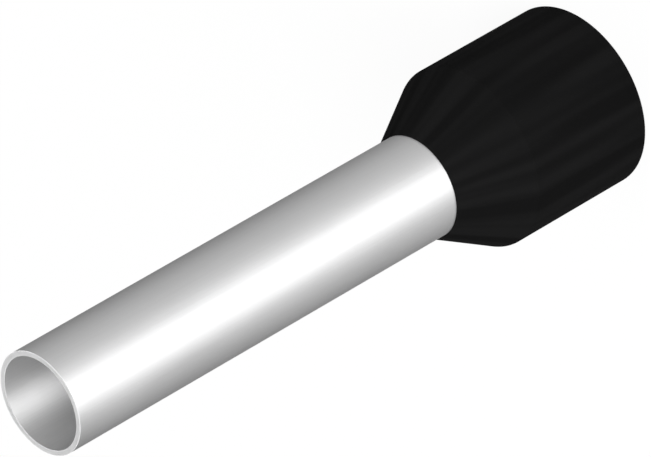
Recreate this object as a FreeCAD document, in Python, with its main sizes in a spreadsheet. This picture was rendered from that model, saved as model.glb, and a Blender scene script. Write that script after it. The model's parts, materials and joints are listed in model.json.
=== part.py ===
"""Wire ferrule with an insulating collar, for a stranded conductor of 6 square millimetres.

Two pieces. The contact sleeve is a thin seamless copper tube, tin-plated, cut square at its tip
and belled out at its other end. The insulating collar is moulded plastic, with a wide bore for
the wire's insulation and a conical neck. It holds the bell: the neck grips the tube, a conical
seat backs the bell, a ledge catches its rim, and a funnel, flush with the inside of the bell,
leads the strands into the tube with no step to catch on.

The ferrule stands on the open end of its collar. The origin is the centre of that end, and +Z
runs along the axis to the tip of the sleeve. Lengths are millimetres and angles are degrees.
"""
import FreeCAD, Part

import math
import os
from types import SimpleNamespace

import Sketcher

# Alias, value and what it measures.
SIZES = (
    ("wire_bore", 3.5, "bore of the sleeve, which takes the bare strands"),
    ("sleeve_wall", 0.2, "wall of the copper tube"),
    ("sleeve_reach", 18.0, "bare sleeve beyond the neck of the collar"),
    ("tip_break", 0.02, "rounding of both edges at the cut tip of the sleeve"),
    ("bell_angle", 30.0, "half angle of the bell, its seat and the funnel"),
    ("bell_length", 0.75, "from the start of the bend to the lowest edge of the bell"),
    ("bend_radius", 0.3, "bend of the tube's outer face into the bell"),
    ("collar_length", 8.0, "whole collar, from its open end to the end of its neck"),
    ("collar_diameter", 6.9, "outside of the collar"),
    ("collar_wall", 0.3, "wall of the collar round the wire's insulation"),
    ("cone_length", 2.6, "outer cone, from the shoulder to the end of the neck"),
    ("neck_edge", 0.05, "how far the end of the neck stands proud of the sleeve"),
    ("neck_grip", 0.45, "straight bore of the neck, which grips the tube"),
    ("seat_clearance", 0.01, "gap between the sleeve and the collar that holds it"),
    ("shoulder_round", 0.1, "rounding between the cone and the cylinder"),
    ("rim_round", 0.05, "outer rounding of the collar's open end"),
    ("entry_chamfer", 0.1, "inner lead-in of the collar's open end"),
)
size = SimpleNamespace(**{alias: value for alias, value, meaning in SIZES})

SLOPE = math.radians(size.bell_angle)
FULL_TURN = 360.0
SAME_PLACE = 1e-6

# Places on a sketched edge, and the sketch's origin.
START, END, CENTRE = range(1, 4)
ORIGIN = (-1, START)


def size_sheet(doc):
    """The spreadsheet that every sketch and feature reads its sizes from."""
    sheet = doc.addObject("Spreadsheet::Sheet", "sizes")
    for row, (alias, value, meaning) in enumerate(SIZES, start=1):
        sheet.set(f"A{row}", alias)
        sheet.set(f"B{row}", str(value))
        sheet.setAlias(f"B{row}", alias)
        sheet.set(f"C{row}", meaning)
    doc.recompute()


class Section:
    """A half section, radius to the right and height upward, that named dimensions hold."""

    def __init__(self, body, name):
        upright = [plane for plane in body.Origin.OriginFeatures if plane.Role == "XZ_Plane"]
        self.sketch = body.newObject("Sketcher::SketchObject", name)
        self.sketch.AttachmentSupport = [(upright[0], "")]
        self.sketch.MapMode = "FlatFace"

    def line(self, start, end):
        """A straight edge between two points, each a radius and a height."""
        edge = Part.LineSegment(FreeCAD.Vector(*start), FreeCAD.Vector(*end))
        return self.sketch.addGeometry(edge, False)

    def bend(self, centre, radius):
        """An arc that comes straight down beside the axis and turns out into the bell's slope."""
        circle = Part.Circle(FreeCAD.Vector(*centre), FreeCAD.Vector(0, 0, 1), radius)
        edge = Part.ArcOfCircle(circle, math.pi, math.pi + SLOPE)
        return self.sketch.addGeometry(edge, False)

    def hold(self, kind, *cases):
        """One constraint with no size for each case: an edge, or a tuple of edges and places."""
        for case in cases:
            where = case if isinstance(case, tuple) else (case,)
            self.sketch.addConstraint(Sketcher.Constraint(kind, *where))

    def dimension(self, name, expression, kind, *where):
        """A dimension that follows the size sheet and starts from what is drawn."""
        drawn = Sketcher.Constraint(kind, *where, self.measure(kind, *where))
        index = self.sketch.addConstraint(drawn)
        self.sketch.renameConstraint(index, name)
        self.sketch.setExpression("Constraints." + name, expression)

    def measure(self, kind, *where):
        """What a dimension is as drawn."""
        if kind == "Radius":
            return self.sketch.Geometry[where[0]].Radius
        if kind == "Angle":
            edge = self.sketch.Geometry[where[0]]
            run = edge.EndPoint - edge.StartPoint
            return math.atan2(run.y, run.x)
        first = self.sketch.getPoint(*where[:2])
        if kind == "Distance":
            edge = self.sketch.Geometry[where[2]]
            return first.distanceToLine(edge.StartPoint, edge.EndPoint - edge.StartPoint)
        run = self.sketch.getPoint(*where[2:]) - first
        return run.x if kind == "DistanceX" else run.y


def slope_start(centre, radius):
    """Where an arc of the bend, round its centre, runs into the slope of the bell."""
    return (centre[0] - radius * math.cos(SLOPE), centre[1] - radius * math.sin(SLOPE))


def slope_at_height(start, height):
    """Where the slope from a start comes down to a height."""
    return (start[0] + (start[1] - height) * math.tan(SLOPE), height)


def slope_at_radius(start, radius):
    """Where the slope from a start comes out to a radius."""
    return (radius, start[1] - (radius - start[0]) / math.tan(SLOPE))


def across_slope(start, distance):
    """The point square to the slope from a start, outward from the axis."""
    return (start[0] + distance * math.cos(SLOPE), start[1] + distance * math.sin(SLOPE))


def turn(body, kind, name, section):
    """Turns a half section fully about the axis: a Revolution adds it, a Groove cuts it away."""
    before = body.Shape.Volume if body.Tip else 0.0
    turned = body.newObject("PartDesign::" + kind, name)
    turned.Profile = section.sketch
    turned.ReferenceAxis = (section.sketch, ["V_Axis"])
    turned.Angle = FULL_TURN
    body.Document.recompute()
    if body.Shape.isNull() or (body.Shape.Volume > before) != (kind == "Revolution"):
        raise RuntimeError(f"{name} made no change")


def rings(feature, places):
    """Names of the circular edges at some places, each a radius and a height."""
    names = []
    for number, edge in enumerate(feature.Shape.Edges, start=1):
        if edge.Curve.TypeId != "Part::GeomCircle":
            continue
        for radius, height in places:
            apart = max(abs(edge.Curve.Radius - radius), abs(edge.Curve.Center.z - height))
            if apart < SAME_PLACE:
                names.append(f"Edge{number}")
    if len(names) != len(places):
        raise RuntimeError(f"{feature.Label}: found {len(names)} of {len(places)} edges")
    return names


def ease(body, kind, name, alias, *places):
    """Rounds (Fillet) or bevels (Chamfer) the circular edges at some places."""
    base = body.Tip
    eased = body.newObject("PartDesign::" + kind, name)
    eased.Base = (base, rings(base, places))
    eased.setExpression("Radius" if kind == "Fillet" else "Size", "sizes." + alias)
    body.Document.recompute()


def contact_sleeve(doc):
    """The tube. Its own height zero is where it starts to bend out into its bell."""
    body = doc.addObject("PartDesign::Body", "contact_sleeve")
    inside = size.wire_bore / 2
    outside = inside + size.sleeve_wall
    tip = size.neck_grip + size.sleeve_reach
    centre = (outside + size.bend_radius, 0)
    back_start = slope_start(centre, size.bend_radius)
    face_start = slope_start(centre, size.bend_radius + size.sleeve_wall)
    rim_inside = slope_at_height(face_start, -size.bell_length)
    rim_outside = across_slope(rim_inside, size.sleeve_wall)

    tube = Section(body, "tube_section")
    outer = tube.line((outside, tip), (outside, 0))
    outer_bend = tube.bend(centre, size.bend_radius)
    back = tube.line(back_start, rim_outside)
    rim = tube.line(rim_outside, rim_inside)
    face = tube.line(rim_inside, face_start)
    inner_bend = tube.bend(centre, size.bend_radius + size.sleeve_wall)
    inner = tube.line((inside, 0), (inside, tip))
    cut = tube.line((inside, tip), (outside, tip))

    tube.hold("Tangent", (outer, END, outer_bend, START), (outer_bend, END, back, START))
    tube.hold("Tangent", (face, END, inner_bend, END), (inner_bend, START, inner, START))
    tube.hold("Coincident", (back, END, rim, START), (rim, END, face, START))
    tube.hold("Coincident", (inner, END, cut, START), (cut, END, outer, START))
    tube.hold("Coincident", (outer_bend, CENTRE, inner_bend, CENTRE))
    tube.hold("Vertical", outer, inner)
    tube.hold("Horizontal", cut)
    tube.hold("Parallel", (back, face))
    tube.hold("Perpendicular", (rim, face))
    tube.hold("PointOnObject", (outer_bend, CENTRE, ORIGIN[0]))
    tube.dimension("bore", "sizes.wire_bore / 2", "DistanceX", *ORIGIN, cut, START)
    tube.dimension("wall", "sizes.sleeve_wall", "DistanceX", cut, START, cut, END)
    tube.dimension("tip", "sizes.neck_grip + sizes.sleeve_reach", "DistanceY", *ORIGIN, cut, START)
    tube.dimension("bend", "sizes.bend_radius", "Radius", outer_bend)
    tube.dimension("slope", "90 + sizes.bell_angle", "Angle", face)
    tube.dimension("bell", "sizes.bell_length", "DistanceY", face, START, *ORIGIN)

    turn(body, "Revolution", "belled_tube", tube)
    ease(body, "Fillet", "tip_edges", "tip_break", (inside, tip), (outside, tip))
    body.setExpression(".Placement.Base.z", "sizes.collar_length - sizes.neck_grip")
    return body


def collar_outside(body):
    """The solid cylinder and cone of the collar, before its inside is cut."""
    radius = size.collar_diameter / 2
    shoulder = (radius, size.collar_length - size.cone_length)
    neck = size.wire_bore / 2 + size.sleeve_wall + size.neck_edge

    outside = Section(body, "outside_section")
    end = outside.line((0, 0), (radius, 0))
    side = outside.line((radius, 0), shoulder)
    cone = outside.line(shoulder, (neck, size.collar_length))
    land = outside.line((neck, size.collar_length), (0, size.collar_length))
    middle = outside.line((0, size.collar_length), (0, 0))

    outside.hold("Coincident", (end, END, side, START), (side, END, cone, START))
    outside.hold("Coincident", (cone, END, land, START), (land, END, middle, START))
    outside.hold("Coincident", (middle, END, end, START), (end, START, *ORIGIN))
    outside.hold("Vertical", side, middle)
    outside.hold("Horizontal", end, land)
    outside.dimension("radius", "sizes.collar_diameter / 2", "DistanceX", *ORIGIN, end, END)
    outside.dimension("length", "sizes.collar_length", "DistanceY", *ORIGIN, land, END)
    outside.dimension("cone", "sizes.cone_length", "DistanceY", cone, START, cone, END)
    neck_radius = "sizes.wire_bore / 2 + sizes.sleeve_wall + sizes.neck_edge"
    outside.dimension("neck", neck_radius, "DistanceX", *ORIGIN, cone, END)

    turn(body, "Revolution", "cylinder_and_cone", outside)
    ease(body, "Fillet", "shoulder", "shoulder_round", shoulder)


def collar_inside(body):
    """The wire's bore, the funnel, the ledge and seat of the bell, and the bore of the neck."""
    sleeve_radius = size.wire_bore / 2 + size.sleeve_wall
    grip_radius = sleeve_radius + size.seat_clearance
    bore_radius = size.collar_diameter / 2 - size.collar_wall
    centre = (sleeve_radius + size.bend_radius, size.collar_length - size.neck_grip)
    corner_radius = size.bend_radius - size.seat_clearance
    funnel_offset = size.bend_radius + size.sleeve_wall
    seat_start = slope_start(centre, corner_radius)
    ledge_height = centre[1] - size.bell_length - size.seat_clearance * math.cos(SLOPE)
    ledge_inside = slope_at_height(slope_start(centre, funnel_offset), ledge_height)
    ledge_outside = across_slope(ledge_inside, funnel_offset - corner_radius)
    funnel_end = slope_at_radius(ledge_inside, bore_radius)

    inside = Section(body, "inside_section")
    grip = inside.line((grip_radius, size.collar_length), (grip_radius, centre[1]))
    corner = inside.bend(centre, corner_radius)
    seat = inside.line(seat_start, ledge_outside)
    ledge = inside.line(ledge_outside, ledge_inside)
    funnel = inside.line(ledge_inside, funnel_end)
    bore = inside.line(funnel_end, (bore_radius, 0))
    mouth = inside.line((bore_radius, 0), (0, 0))
    middle = inside.line((0, 0), (0, size.collar_length))
    top = inside.line((0, size.collar_length), (grip_radius, size.collar_length))

    inside.hold("Tangent", (grip, END, corner, START), (corner, END, seat, START))
    inside.hold("Coincident", (seat, END, ledge, START), (ledge, END, funnel, START))
    inside.hold("Coincident", (funnel, END, bore, START), (bore, END, mouth, START))
    inside.hold("Coincident", (mouth, END, middle, START), (middle, START, *ORIGIN))
    inside.hold("Coincident", (middle, END, top, START), (top, END, grip, START))
    inside.hold("Vertical", grip, bore, middle)
    inside.hold("Horizontal", mouth, top)
    inside.hold("Parallel", (funnel, seat))
    inside.hold("Perpendicular", (ledge, seat))
    sleeve = "sizes.wire_bore / 2 + sizes.sleeve_wall"
    bend_height = "sizes.collar_length - sizes.neck_grip"
    inside.dimension("length", "sizes.collar_length", "DistanceY", *ORIGIN, middle, END)
    inside.dimension("grip", sleeve + " + sizes.seat_clearance", "DistanceX", *ORIGIN, top, END)
    inside.dimension("bend_height", bend_height, "DistanceY", *ORIGIN, corner, CENTRE)
    inside.dimension("corner", "sizes.bend_radius - sizes.seat_clearance", "Radius", corner)
    inside.dimension("slope", "sizes.bell_angle - 90", "Angle", seat)
    inside.dimension("ledge", bend_height + " - sizes.bell_length"
                     " - sizes.seat_clearance * cos(sizes.bell_angle)", "DistanceY", *ORIGIN, ledge, END)
    inside.dimension("flush", "sizes.bend_radius + sizes.sleeve_wall", "Distance", corner, CENTRE, funnel)
    inside.dimension("bore", "sizes.collar_diameter / 2 - sizes.collar_wall",
                     "DistanceX", *ORIGIN, mouth, START)

    turn(body, "Groove", "bore_funnel_and_seat", inside)
    ease(body, "Chamfer", "entry", "entry_chamfer", (bore_radius, 0))


def insulating_collar(doc):
    """The moulded collar, from its open end up."""
    body = doc.addObject("PartDesign::Body", "insulating_collar")
    collar_outside(body)
    collar_inside(body)
    ease(body, "Fillet", "rim", "rim_round", (size.collar_diameter / 2, 0))
    return body


def write_parts(doc, bodies):
    """Checks that everything was made, then writes each piece to its own file."""
    failed = [item.Label for item in doc.Objects if {"Invalid", "Error"} & set(item.State)]
    if failed:
        raise RuntimeError("not made: " + ", ".join(failed))
    for body in bodies:
        if body.Shape.isNull() or not body.Shape.isValid():
            raise RuntimeError(f"{body.Label} is not a sound solid")
    os.makedirs("parts", exist_ok=True)
    for body in bodies:
        body.Shape.exportStep(f"parts/{body.Label}.step")
        print(f"{body.Label}: {body.Shape.Volume:.3f} cubic mm")


def main():
    doc = FreeCAD.newDocument("wire_ferrule")
    size_sheet(doc)
    bodies = [contact_sleeve(doc), insulating_collar(doc)]
    doc.recompute()
    write_parts(doc, bodies)


main()
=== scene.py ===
"""Insulated wire ferrule: the tin-plated sleeve, the moulded collar and a plain studio round them."""
import json
import math

import bmesh
import bpy
from mathutils import Matrix, Vector


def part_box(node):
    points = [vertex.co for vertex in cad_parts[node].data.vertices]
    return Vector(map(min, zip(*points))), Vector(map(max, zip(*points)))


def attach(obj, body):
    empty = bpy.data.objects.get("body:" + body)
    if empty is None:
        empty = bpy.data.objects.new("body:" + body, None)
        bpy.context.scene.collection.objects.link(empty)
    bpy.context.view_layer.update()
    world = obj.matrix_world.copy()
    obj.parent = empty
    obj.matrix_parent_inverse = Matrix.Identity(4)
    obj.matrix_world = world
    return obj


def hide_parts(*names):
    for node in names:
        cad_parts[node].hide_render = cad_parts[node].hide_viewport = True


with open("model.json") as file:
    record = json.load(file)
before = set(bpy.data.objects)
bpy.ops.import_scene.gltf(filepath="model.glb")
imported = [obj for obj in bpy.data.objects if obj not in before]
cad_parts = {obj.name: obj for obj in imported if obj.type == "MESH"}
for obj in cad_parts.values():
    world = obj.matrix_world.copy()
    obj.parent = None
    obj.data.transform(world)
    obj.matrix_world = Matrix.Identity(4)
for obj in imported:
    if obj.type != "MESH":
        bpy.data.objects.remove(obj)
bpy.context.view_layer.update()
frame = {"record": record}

bl_info = {
    "name": "Wire Ferrule",
    "version": (1, 0),
    "blender": (4, 5, 0),
    "location": "View3D > Sidebar > Ferrule",
    "description": "Sleeve, collar and studio of an insulated wire ferrule",
    "category": "Object",
}

MM = 0.001
MOUNTS = {mount["name"]: mount for mount in frame["record"]["mounts"]}
SLEEVE_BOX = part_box("contact_sleeve")
COLLAR_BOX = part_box("insulating_collar")

# Radius of the collar as a share of its length
RADIUS_PER_LENGTH = 6.9 / 16

# Fineness of the meshes
SEGMENTS = 192
ARC_STEP = math.radians(12)
LEAST_ARC_STEPS = 2
CARD_STEPS = 48

# Noise and colours: the middle of what runs from 0 to 1, and numbered sockets of a Mix node
MIDDLE = 0.5
MIX_FIRST, MIX_SECOND, MIX_COLOUR = 6, 7, 2
WHITE = (1.0, 1.0, 1.0, 1.0)

# Tin plate: widths across and lengths along the axis, and how much each pattern counts
DRAW_LINES = (0.06 * MM, 6 * MM)
PATCHES = (1.2 * MM, 2.5 * MM)
PATCH_DETAIL = 3.0
TIN_GRAIN = (0.05 * MM, 0.05 * MM)
LINES_IN_ROUGHNESS = 0.25
PATCHES_IN_ROUGHNESS = 0.12
PATCHES_IN_COLOUR = 0.2
GRAIN_IN_HEIGHT = 0.3
QUARTER_TURN = 0.25

# Depths below the tip, as shares of its rounding: full even finish, and the start of the flat cut
EVEN_FROM = 0.5
FLAT_FROM = 0.1

# Painted reflection streaks and grain of the plastic
PAINTED_STREAK_SCALE = 4.5
PAINTED_STREAK_PER_METRE = 0.02 / MM
PAINTED_STREAK_LOW, PAINTED_STREAK_HIGH = 0.35, 0.65
PAINTED_STREAK_DARK, PAINTED_STREAK_LIGHT = 0.78, 1.22
PAINTED_STREAKS_IN_ROUGHNESS = 0.1
PLASTIC_GRAIN = (0.04 * MM, 0.04 * MM)
PLASTIC_GRAIN_DEPTH = 0.001 * MM

# Cards, a painted reflection: grey glow by place from the back to the front, and height above the floor
CARD_TONES = [(0.0, 0.1), (0.1, 0.18), (0.25, 0.3), (0.45, 0.455), (0.65, 0.58), (0.83, 0.62), (0.91, 0.7),
              (1.0, 0.8)]
CARD_LIFT = 0.1 * MM

# Lamps: azimuth from the front and elevation in degrees, distance and side in metres
LAMPS = {
    "key": (-20, 38, 0.4, 0.27),
    "top": (-18, 70, 0.4, 0.1),
    "back": (180, 12, 0.4, 0.2),
}

# Nearest and farthest that the camera sees, in metres
CLIP_START = 0.01
CLIP_END = 10.0


def mount_radius(name):
    """The radius of a round mount of the record, in metres."""
    return MOUNTS[name]["dims"]["r_mm"] * MM


def mount_start(name):
    """The lower end of a round mount of the record, in metres."""
    mount = MOUNTS[name]
    return mount["pos_m"][2] - mount["dims"]["length_mm"] * MM / 2


def length(name, description, default):
    """A size in metres."""
    return bpy.props.FloatProperty(name=name, description=description, default=default, min=0.0,
                                   unit="LENGTH", precision=5)


def angle(name, description, degrees):
    """An angle, given in degrees."""
    return bpy.props.FloatProperty(name=name, description=description, default=math.radians(degrees),
                                   subtype="ANGLE")


def number(name, description, default):
    """A plain number."""
    return bpy.props.FloatProperty(name=name, description=description, default=default, precision=4)


def colour(name, description, default):
    """A linear colour."""
    return bpy.props.FloatVectorProperty(name=name, description=description, default=default,
                                         subtype="COLOR", min=0.0, max=1.0)


class FERRULE_PG_sleeve(bpy.types.PropertyGroup):
    """The belled tube and its tin plate."""

    bore: length("Bore radius", "Inside of the tube", mount_radius("conductor_bore"))
    outside: length("Outer radius", "Outside of the tube", mount_radius("contact_pin"))
    tip_round: length("Tip rounding", "Rounding of the cut edges", 0.02 * MM)
    bell_angle: angle("Bell angle", "Half angle of the bell", 30)
    bend_height: length("Bend height", "Where the tube starts to bend out", mount_start("conductor_bore"))
    bend_radius: length("Bend radius", "Bend of the outer face into the bell", 0.3 * MM)
    tin: colour("Tin", "Colour of the plating", (0.86, 0.86, 0.862))
    roughness: number("Roughness", "Middle roughness of the plating", 0.63)
    bore_roughness: number("Bore roughness", "Middle roughness of the plating inside the bore", 0.7)
    stretch: number("Stretch", "How far the sheen spreads along the tube", 0.8)
    # Painted shade: the plating inside the bore is darker than outside
    painted_bore_shade: number("Bore shade", "Tone of the plating inside the bore, as a share of the outside", 0.81)
    cut_roughness: number("Cut roughness", "Middle roughness of the cut tip", 0.5)
    edge_roughness: number("Edge roughness", "Middle roughness of the rounding beside the cut", 1.0)
    draw_depth: length("Draw depth", "Depth of the fine lines that drawing left along the tube", 0.003 * MM)


class FERRULE_PG_collar(bpy.types.PropertyGroup):
    """The moulded collar and its plastic."""

    outside: length("Radius", "Outside of the collar", COLLAR_BOX[1].z * RADIUS_PER_LENGTH)
    cone_length: length("Cone length", "From the shoulder to the end of the neck", 2.6 * MM)
    neck_edge: length("Neck edge", "How far the end of the neck stands proud of the sleeve", 0.05 * MM)
    clearance: length("Clearance", "Gap between sleeve and collar", 0.01 * MM)
    wire_bore: length("Wire bore radius", "Bore for the wire's insulation", mount_radius("insulation_bore"))
    shoulder_round: length("Shoulder rounding", "Wide ends of the cone and of the funnel", 0.1 * MM)
    rim_round: length("Rim rounding", "Outer edge of the open end", 0.05 * MM)
    entry_bevel: length("Entry bevel", "Inner edge of the open end", 0.1 * MM)
    edge_round: length("Edge rounding", "Small edges of the neck and inside", 0.015 * MM)
    plastic: colour("Plastic", "Colour of the collar", (0.0083, 0.0083, 0.0084))
    roughness: number("Roughness", "Middle roughness of the plastic", 0.8)
    gloss: number("Gloss", "Specular level of the plastic", 0.005)


class FERRULE_PG_stage(bpy.types.PropertyGroup):
    """Floor, lamps, cards and camera."""

    floor_size: length("Floor size", "Side of the square floor", 1.2)
    floor_tint: colour("Floor colour", "Colour of the floor", (0.97, 0.97, 0.97))
    floor_glow: number("Floor glow", "Share of the floor's white that no shadow takes away", 0.92)
    world: number("World", "Strength of the even light from all round", 0.4)
    key: number("Key lamp", "Power of the front lamp, in watts", 0.82)
    top: number("Top lamp", "Power of the high lamp, in watts", 0.65)
    back: number("Back lamp", "Power of the lamp behind, in watts", 0.5)
    card_tone: number("Card tone", "Brightness of the cards", 1.0)
    card_start: length("Card start", "Inner radius of the low card", 0.0035)
    card_split: length("Card split", "Outer radius of the low card, where the tall card starts", 0.008)
    card_reach: length("Card reach", "Outer radius of the tall card", 0.12)
    card_height: length("Card height", "Height of the tall card", 0.16)
    card_middle: angle("Card middle", "Where the tall card is open, from the front", -20)
    card_opening: angle("Card opening", "Half of the opening in the tall card", 40)
    tilt: angle("Tilt", "How far the camera looks down on the standing ferrule", 35.318)
    roll: angle("Roll", "Slope of the axis in the picture", 29.901)
    focal: number("Focal length", "In picture widths", 12.7786)
    mouth_across: number("Mouth across", "Mouth right of the picture's middle, in picture widths", -0.43837)
    mouth_up: number("Mouth up", "Mouth above the picture's middle, in picture widths", -0.2688)
    distance: length("Distance", "From the camera to the mouth, along the view", 0.279243)


class Flow:
    """A socket of a shader. Sums, differences and products of flows and numbers add Math nodes."""

    def __init__(self, graph, socket):
        self.graph = graph
        self.socket = socket

    def math(self, operation, first, second):
        """One Math node."""
        return self.graph.node("ShaderNodeMath", {"operation": operation}, {0: first, 1: second})

    def __add__(self, other):
        return self.math("ADD", self, other)

    def __radd__(self, other):
        return self.math("ADD", other, self)

    def __sub__(self, other):
        return self.math("SUBTRACT", self, other)

    def __rsub__(self, other):
        return self.math("SUBTRACT", other, self)

    def __mul__(self, other):
        return self.math("MULTIPLY", self, other)

    def __rmul__(self, other):
        return self.math("MULTIPLY", other, self)


class Graph:
    """Adds nodes to a material or a world."""

    def __init__(self, owner):
        owner.use_nodes = True
        self.tree = owner.node_tree
        self.tree.nodes.clear()

    def node(self, kind, settings=None, sockets=None, output=0):
        """Any node: its settings come first, then the values or links of its sockets."""
        made = self.tree.nodes.new(kind)
        for name, value in (settings or {}).items():
            if name == "stops":
                self.ramp(made.color_ramp, value)
            else:
                setattr(made, name, value)
        for name, value in (sockets or {}).items():
            if isinstance(value, Flow):
                self.tree.links.new(value.socket, made.inputs[name])
            else:
                made.inputs[name].default_value = value
        return Flow(self, made.outputs[output]) if made.outputs else None

    def ramp(self, ramp, stops):
        """The stops of a colour ramp, each a place and a grey."""
        while len(ramp.elements) < len(stops):
            ramp.elements.new(1.0)
        for element, (place, grey) in zip(ramp.elements, stops):
            element.position = place
            element.color = (grey, grey, grey, 1.0)

    def place(self):
        """The point of the surface, in the object's own metres."""
        return self.node("ShaderNodeTexCoord", output="Object")

    def vector(self, operation, first, second):
        """One Vector Math node."""
        return self.node("ShaderNodeVectorMath", {"operation": operation}, {0: first, 1: second})

    def noise(self, place, across, along, detail=2.0):
        """Soft noise from 0 to 1, with features of a width across the axis and a length along it."""
        stretched = self.vector("MULTIPLY", place, (1 / across, 1 / across, 1 / along))
        return self.node("ShaderNodeTexNoise", {"normalize": True},
                         {"Vector": stretched, "Scale": 1.0, "Detail": detail})

    def tint(self, factor, first, second):
        """A colour between two."""
        sockets = {"Factor": factor, MIX_FIRST: (*first, 1.0), MIX_SECOND: (*second, 1.0)}
        return self.node("ShaderNodeMix", {"data_type": "RGBA"}, sockets, output=MIX_COLOUR)

    def rise(self, value, low, high, curve="LINEAR"):
        """From nothing at the low value to one at the high value."""
        return self.node("ShaderNodeMapRange", {"interpolation_type": curve}, {0: value, 1: low, 2: high})

    def flat(self, place):
        """The part of a place across the axis."""
        return self.vector("MULTIPLY", place, (1.0, 1.0, 0.0))

    def heading(self, place):
        """The direction from the axis to a place."""
        return self.node("ShaderNodeVectorMath", {"operation": "NORMALIZE"}, {0: self.flat(place)})

    def shader(self, *inputs):
        """A Principled shader with the given inputs."""
        joined = {name: value for given in inputs for name, value in given.items()}
        return self.node("ShaderNodeBsdfPrincipled", None, joined)

    def bump(self, height, depth):
        """A normal from a height of 0 to 1 that stands for a depth in metres."""
        return self.node("ShaderNodeBump", None, {"Strength": 1.0, "Distance": depth, "Height": height})


def shade(tone, factor):
    """A colour made darker or lighter."""
    return tuple(factor * part for part in tone)


def tin_plate(settings):
    """Satin tin over drawn copper. Its sheen spreads along the tube, but not on the cut tip. Painted shade
    darkens the bore.
    """
    material = bpy.data.materials.new("satin_tin")
    graph = Graph(material)
    place = graph.place()
    lines = graph.noise(place, *DRAW_LINES)
    patches = graph.noise(place, *PATCHES, detail=PATCH_DETAIL)
    grain = graph.noise(place, *TIN_GRAIN)
    radius = graph.node("ShaderNodeVectorMath", {"operation": "LENGTH"}, {0: graph.flat(place)}, output=1)
    outside = graph.rise(radius, settings.bore, settings.bore + settings.tip_round)
    height = graph.node("ShaderNodeSeparateXYZ", None, {0: place}, output=2)
    tip = SLEEVE_BOX[1].z
    cut = graph.rise(height, tip - settings.tip_round, tip - EVEN_FROM * settings.tip_round)
    level = graph.rise(height, tip - FLAT_FROM * settings.tip_round, tip)
    uneven = LINES_IN_ROUGHNESS * (lines - MIDDLE) + PATCHES_IN_ROUGHNESS * (patches - MIDDLE)
    drawn = settings.bore_roughness + (settings.roughness - settings.bore_roughness) * outside
    # Painted shade: the bore's plating is darker than the outside's; the patches add random tone of the tin
    painted_bore_shade_and_patches = (1 - PATCHES_IN_COLOUR) * outside + PATCHES_IN_COLOUR * patches
    plating = {
        "Base Color": graph.tint(painted_bore_shade_and_patches, shade(settings.tin, settings.painted_bore_shade), tuple(settings.tin)),
        "Metallic": 1.0,
        "Normal": graph.bump((1 - GRAIN_IN_HEIGHT) * lines + GRAIN_IN_HEIGHT * grain, settings.draw_depth),
    }
    stretched = graph.shader(plating, {
        "Roughness": drawn + uneven,
        "Anisotropic": settings.stretch,
        "Anisotropic Rotation": QUARTER_TURN,
    })
    filed = settings.edge_roughness + (settings.cut_roughness - settings.edge_roughness) * level
    even = graph.shader(plating, {"Roughness": filed + uneven})
    surface = graph.node("ShaderNodeMixShader", None, {0: cut, 1: stretched, 2: even})
    graph.node("ShaderNodeOutputMaterial", None, {"Surface": surface})
    return material


def black_plastic(settings):
    """Moulded plastic with painted reflection streaks that run with the axis and close in over the cone."""
    material = bpy.data.materials.new("black_plastic")
    graph = Graph(material)
    place = graph.place()
    along = graph.vector("MULTIPLY", place, (0.0, 0.0, PAINTED_STREAK_PER_METRE))
    where = graph.vector("ADD", graph.heading(place), along)
    streak_noise = graph.node("ShaderNodeTexNoise", None, {"Vector": where, "Scale": PAINTED_STREAK_SCALE, "Detail": 1.0})
    painted_streaks = graph.rise(streak_noise, PAINTED_STREAK_LOW, PAINTED_STREAK_HIGH, "SMOOTHSTEP")
    grain = graph.noise(place, *PLASTIC_GRAIN)
    # Painted reflection: lighter and darker copies of the plastic's colour, laid along the streaks
    dark, light = shade(settings.plastic, PAINTED_STREAK_DARK), shade(settings.plastic, PAINTED_STREAK_LIGHT)
    surface = graph.shader({
        "Base Color": graph.tint(painted_streaks, dark, light),
        "Roughness": settings.roughness + PAINTED_STREAKS_IN_ROUGHNESS * (painted_streaks - MIDDLE),
        "Specular IOR Level": settings.gloss,
        "Normal": graph.bump(grain, PLASTIC_GRAIN_DEPTH),
    })
    graph.node("ShaderNodeOutputMaterial", None, {"Surface": surface})
    return material


def rounded(corners):
    """Points and normals of a closed outline, from corners of radius, height and rounding."""
    points = []
    for index, (x, y, rounding) in enumerate(corners):
        corner = Vector((x, y))
        before = (corner - Vector(corners[index - 1][:2])).normalized()
        after = (Vector(corners[(index + 1) % len(corners)][:2]) - corner).normalized()
        bend = before.angle_signed(after)
        back = rounding * math.tan(abs(bend) / 2)
        normal = Vector((before.y, -before.x))
        start = corner - before * back
        centre = start + normal * math.copysign(rounding, bend)
        steps = max(LEAST_ARC_STEPS, round(abs(bend) / ARC_STEP))
        for step in range(steps + 1):
            turned = Matrix.Rotation(-bend * step / steps, 2) @ normal
            points.append((centre - turned * math.copysign(rounding, bend), turned))
    return points


def turned_piece(name, corners, material, node):
    """Turns an outline about the axis into a closed mesh that stands for a solid of the frame."""
    outline = rounded(corners)
    shape = bmesh.new()
    normals = []
    rings = []
    for segment in range(SEGMENTS):
        turn = 2 * math.pi * segment / SEGMENTS
        across = Vector((math.cos(turn), math.sin(turn), 0))
        ring = []
        for point, normal in outline:
            ring.append(shape.verts.new(across * point.x + Vector((0, 0, point.y))))
            normals.append(across * normal.x + Vector((0, 0, normal.y)))
        rings.append(ring)
    for ring, following in zip(rings, rings[1:] + rings[:1]):
        for low in range(len(outline)):
            high = (low + 1) % len(outline)
            shape.faces.new((ring[low], following[low], following[high], ring[high])).smooth = True
    mesh = bpy.data.meshes.new(name)
    shape.to_mesh(mesh)
    shape.free()
    mesh.normals_split_custom_set_from_vertices(normals)
    mesh.materials.append(material)
    piece = bpy.data.objects.new(name, mesh)
    bpy.context.scene.collection.objects.link(piece)
    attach(piece, "root")
    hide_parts(node)


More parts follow.
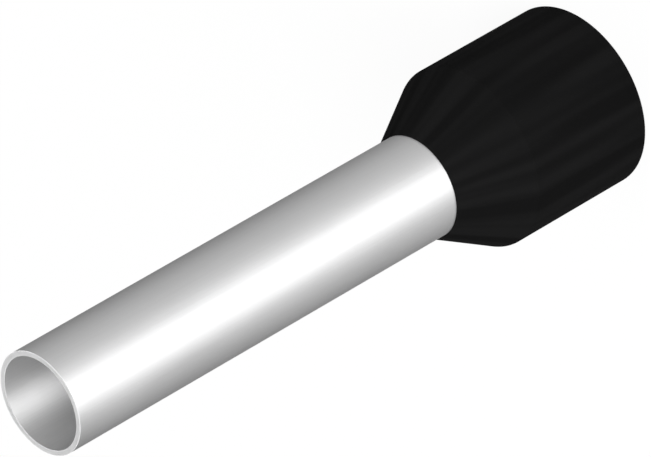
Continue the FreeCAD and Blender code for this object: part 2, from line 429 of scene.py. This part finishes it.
class Bell:
    """The bend and the slope that sleeve and collar share, in radius and height."""

    def __init__(self, sleeve):
        self.slope = sleeve.bell_angle
        self.wall = sleeve.outside - sleeve.bore
        self.inner_bend = sleeve.bend_radius + self.wall
        self.across = Vector((math.cos(self.slope), math.sin(self.slope)))
        self.centre = Vector((sleeve.outside + sleeve.bend_radius, sleeve.bend_height))

    def corner(self, bend):
        """The height where the straight part and the slope would meet without a bend of this radius."""
        return self.centre.y - bend * math.tan(self.slope / 2)

    def inside(self, height):
        """The point of the slope's inner side at a height."""
        start = self.centre - self.inner_bend * self.across
        return Vector((start.x + (start.y - height) * math.tan(self.slope), height))


class FERRULE_OT_sleeve(bpy.types.Operator):
    """Make the tin-plated contact sleeve"""

    bl_idname = "ferrule.sleeve"
    bl_label = "Contact Sleeve"

    def execute(self, context):
        sleeve = context.scene.ferrule_sleeve
        bell = Bell(sleeve)
        tip = SLEEVE_BOX[1].z
        rim = bell.inside(SLEEVE_BOX[0].z)
        back = rim + bell.wall * bell.across
        corners = [
            (sleeve.outside, tip, sleeve.tip_round),
            (sleeve.bore, tip, sleeve.tip_round),
            (sleeve.bore, bell.corner(bell.inner_bend), bell.inner_bend),
            (rim.x, rim.y, sleeve.tip_round),
            (back.x, back.y, sleeve.tip_round),
            (sleeve.outside, bell.corner(sleeve.bend_radius), sleeve.bend_radius),
        ]
        turned_piece("sleeve", corners, tin_plate(sleeve), "contact_sleeve")
        return {"FINISHED"}


class FERRULE_OT_collar(bpy.types.Operator):
    """Make the moulded insulating collar"""

    bl_idname = "ferrule.collar"
    bl_label = "Insulating Collar"

    def execute(self, context):
        collar = context.scene.ferrule_collar
        sleeve = context.scene.ferrule_sleeve
        bell = Bell(sleeve)
        top = COLLAR_BOX[1].z
        small = collar.edge_round
        grip = sleeve.outside + collar.clearance
        bend = sleeve.bend_radius - collar.clearance
        ledge = bell.inside(SLEEVE_BOX[0].z - collar.clearance * math.cos(bell.slope))
        seat = ledge + (bell.inner_bend - bend) * bell.across
        funnel_end = ledge.y - (collar.wire_bore - ledge.x) / math.tan(bell.slope)
        corners = [
            (collar.outside, 0, collar.rim_round),
            (collar.outside, top - collar.cone_length, collar.shoulder_round),
            (sleeve.outside + collar.neck_edge, top, small),
            (grip, top, small),
            (grip, bell.corner(bend), bend),
            (seat.x, seat.y, small),
            (ledge.x, ledge.y, small),
            (collar.wire_bore, funnel_end, collar.shoulder_round),
            (collar.wire_bore, collar.entry_bevel, small),
            (collar.wire_bore + collar.entry_bevel, 0, small),
        ]
        turned_piece("collar", corners, black_plastic(collar), "insulating_collar")
        return {"FINISHED"}


def seen(graph):
    """One for what the camera, the metal and the gloss look at, and nothing for plain light."""
    path = graph.node("ShaderNodeLightPath")
    rays = [Flow(graph, path.socket.node.outputs[name])
            for name in ("Is Camera Ray", "Is Glossy Ray", "Is Transmission Ray")]
    return rays[0] + rays[1] + rays[2]


def stage_mesh(name, points, faces, material):
    """A piece of the studio."""
    mesh = bpy.data.meshes.new(name)
    mesh.from_pydata(points, [], faces)
    mesh.materials.append(material)
    piece = bpy.data.objects.new(name, mesh)
    bpy.context.scene.collection.objects.link(piece)
    return piece


def floor(stage):
    """A plain pale floor. Its own glow gives most of its white, and a shadow darkens the rest."""
    half = stage.floor_size / 2
    material = bpy.data.materials.new("floor")
    graph = Graph(material)
    pale = graph.node("ShaderNodeBsdfDiffuse", None, {"Color": (*stage.floor_tint, 1.0)})
    white = graph.node("ShaderNodeEmission", None, {"Strength": 1.0})
    glow = stage.floor_glow * seen(graph)
    surface = graph.node("ShaderNodeMixShader", None, {0: glow, 1: pale, 2: white})
    graph.node("ShaderNodeOutputMaterial", None, {"Surface": surface})
    corners = [(-half, -half, 0), (half, -half, 0), (half, half, 0), (-half, half, 0)]
    stage_mesh("floor", corners, [(0, 1, 2, 3)], material)


def card_material(stage):
    """A graded grey glow, darker toward the back: a painted reflection of dark surroundings."""
    material = bpy.data.materials.new("dark_card")
    graph = Graph(material)
    facing = graph.node("ShaderNodeVectorMath", {"operation": "DOT_PRODUCT"},
                        {0: graph.heading(graph.place()), 1: (0.0, -1.0, 0.0)}, output=1)
    frontness = MIDDLE + MIDDLE * facing
    tone = graph.node("ShaderNodeValToRGB", {"stops": CARD_TONES}, {"Fac": frontness})
    grey = graph.node("ShaderNodeEmission", None, {"Color": tone, "Strength": stage.card_tone})
    graph.node("ShaderNodeOutputMaterial", None, {"Surface": grey})
    return material


def card(name, profile, middle, opening, material):
    """A card bent round the ferrule, closed or open on one side. Only the metal and the gloss see it."""
    span = 2 * (math.pi - opening)
    points = []
    for step in range(CARD_STEPS + 1):
        turn = middle + opening + span * step / CARD_STEPS
        points += [(math.sin(turn) * far, -math.cos(turn) * far, high) for far, high in profile]
    count = len(profile)
    faces = []
    for step in range(CARD_STEPS):
        for low in range(step * count, step * count + count - 1):
            faces.append((low, low + 1, low + count + 1, low + count))
    piece = stage_mesh(name, points, faces, material)
    piece.visible_camera = False
    piece.visible_diffuse = False
    piece.visible_shadow = False


def dark_cards(stage):
    """A low card round the foot of the collar, a tall one round back and sides, a flat one in front."""
    material = card_material(stage)
    low = [(stage.card_start, CARD_LIFT), (stage.card_split, CARD_LIFT)]
    flat = [(stage.card_split, CARD_LIFT), (stage.card_reach, CARD_LIFT)]
    tall = [*flat, (stage.card_reach, stage.card_height)]
    card("low_card", low, 0, 0, material)
    card("tall_card", tall, stage.card_middle, stage.card_opening, material)
    card("front_card", flat, stage.card_middle + math.pi, math.pi - stage.card_opening, material)


def lamp(name, azimuth, elevation, distance, side, power, target):
    """A square soft lamp, placed round a target by azimuth from the front, elevation and distance."""
    turn, lift = math.radians(azimuth), math.radians(elevation)
    away = Vector((math.sin(turn) * math.cos(lift), -math.cos(turn) * math.cos(lift), math.sin(lift)))
    data = bpy.data.lights.new(name, "AREA")
    data.size = side
    data.energy = power
    piece = bpy.data.objects.new(name, data)
    piece.location = target + away * distance
    piece.rotation_euler = away.to_track_quat("Z", "Y").to_euler()
    bpy.context.scene.collection.objects.link(piece)


def world_light(stage):
    """Even light from all round. The camera, the metal and the gloss see it as full white."""
    world = bpy.data.worlds.new("studio")
    graph = Graph(world)
    strength = stage.world + (1 - stage.world) * seen(graph)
    background = graph.node("ShaderNodeBackground", None, {"Color": WHITE, "Strength": strength})
    graph.node("ShaderNodeOutputWorld", None, {"Surface": background})
    bpy.context.scene.world = world


def camera(stage):
    """The camera, from where the mouth of the sleeve lies in the picture."""
    forward = Vector((0, math.cos(stage.tilt), -math.sin(stage.tilt)))
    rise = Vector((0, math.sin(stage.tilt), math.cos(stage.tilt)))
    side = Vector((1, 0, 0))
    right = -math.sin(stage.roll) * side - math.cos(stage.roll) * rise
    up = math.cos(stage.roll) * side - math.sin(stage.roll) * rise
    mouth = Vector((0, 0, SLEEVE_BOX[1].z))
    scale = stage.distance / stage.focal
    place = mouth - forward * stage.distance
    place -= (right * stage.mouth_across + up * stage.mouth_up) * scale
    data = bpy.data.cameras.new("camera")
    data.lens = stage.focal * data.sensor_width
    data.clip_start = CLIP_START
    data.clip_end = CLIP_END
    piece = bpy.data.objects.new("camera", data)
    piece.matrix_world = Matrix.Translation(place) @ Matrix((right, up, -forward)).transposed().to_4x4()
    bpy.context.scene.collection.objects.link(piece)
    bpy.context.scene.camera = piece


class FERRULE_OT_stage(bpy.types.Operator):
    """Make the floor, the cards, the lamps and the camera"""

    bl_idname = "ferrule.stage"
    bl_label = "Studio"

    def execute(self, context):
        stage = context.scene.ferrule_stage
        floor(stage)
        dark_cards(stage)
        world_light(stage)
        middle = Vector((0, 0, SLEEVE_BOX[1].z / 2))
        for name, (azimuth, elevation, distance, side) in LAMPS.items():
            lamp(name, azimuth, elevation, distance, side, getattr(stage, name), middle)
        camera(stage)
        context.scene.view_settings.view_transform = "Standard"
        return {"FINISHED"}


class FERRULE_PT_panel(bpy.types.Panel):
    """Lists the pieces and their sizes."""

    bl_label = "Wire Ferrule"
    bl_space_type = "VIEW_3D"
    bl_region_type = "UI"
    bl_category = "Ferrule"

    def draw(self, context):
        for name in GROUPS:
            group = getattr(context.scene, name)
            box = self.layout.box()
            for setting in group.__annotations__:
                box.prop(group, setting)
        for operator in OPERATORS:
            self.layout.operator(operator.bl_idname)


GROUPS = {
    "ferrule_sleeve": FERRULE_PG_sleeve,
    "ferrule_collar": FERRULE_PG_collar,
    "ferrule_stage": FERRULE_PG_stage,
}
OPERATORS = (FERRULE_OT_sleeve, FERRULE_OT_collar, FERRULE_OT_stage)
CLASSES = (*GROUPS.values(), *OPERATORS, FERRULE_PT_panel)


def register():
    """Registers the add-on and gives the scene its settings."""
    for made in CLASSES:
        bpy.utils.register_class(made)
    for name, group in GROUPS.items():
        setattr(bpy.types.Scene, name, bpy.props.PointerProperty(type=group))


def unregister():
    """Takes the settings and the add-on away again."""
    for name in GROUPS:
        delattr(bpy.types.Scene, name)
    for made in reversed(CLASSES):
        bpy.utils.unregister_class(made)


def main():
    """Makes both pieces and the studio."""
    register()
    bpy.ops.ferrule.sleeve()
    bpy.ops.ferrule.collar()
    bpy.ops.ferrule.stage()


if __name__ == "__main__":
    main()
